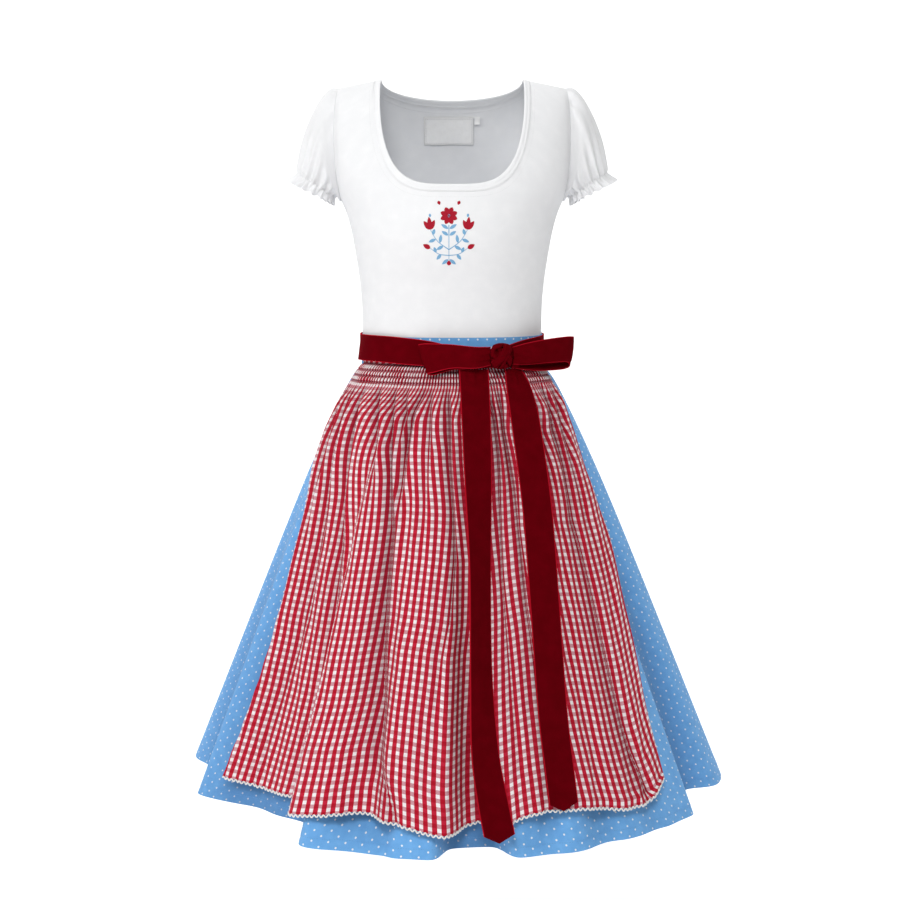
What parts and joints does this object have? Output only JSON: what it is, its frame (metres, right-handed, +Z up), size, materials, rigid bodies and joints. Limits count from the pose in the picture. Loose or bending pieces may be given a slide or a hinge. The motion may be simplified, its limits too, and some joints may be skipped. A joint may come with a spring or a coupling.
{
  "type": "dirndl dress",
  "caption": "Short-sleeved dress with a scoop neck, flared dotted skirt, gathered gingham apron and a velvet ribbon bow, standing open as worn.",
  "frame": {"origin": "middle of the shoulder line, where the dress is held", "axes": "+Z up, -Y towards the front, +X to the right of someone facing the front"},
  "size_m": [0.8032, 0.8112, 1.0253],
  "materials": {
    "white_jersey": "matte",
    "label_tape": "satin",
    "blue_dotted_cotton": "matte",
    "red_gingham": "matte",
    "white_picot": "matte",
    "dark_red_velvet": "velvet pile"
  },
  "bodies": {
    "root": {"bodice_front": "white_jersey", "bodice_back": "white_jersey", "neck_binding": "white_jersey", "sleeve_left": "white_jersey", "sleeve_right": "white_jersey", "neck_label": "label_tape", "size_tab": "label_tape", "skirt_waistband": "blue_dotted_cotton", "skirt_front": "blue_dotted_cotton", "skirt_back": "blue_dotted_cotton", "apron_yoke": "red_gingham", "apron_panel": "red_gingham", "apron_lace": "white_picot", "velvet_sash": "dark_red_velvet", "velvet_tail_left": "dark_red_velvet", "velvet_tail_right": "dark_red_velvet", "bow_loop_left": "dark_red_velvet", "bow_loop_right": "dark_red_velvet", "bow_knot": "dark_red_velvet"}
  },
  "joints": []
}
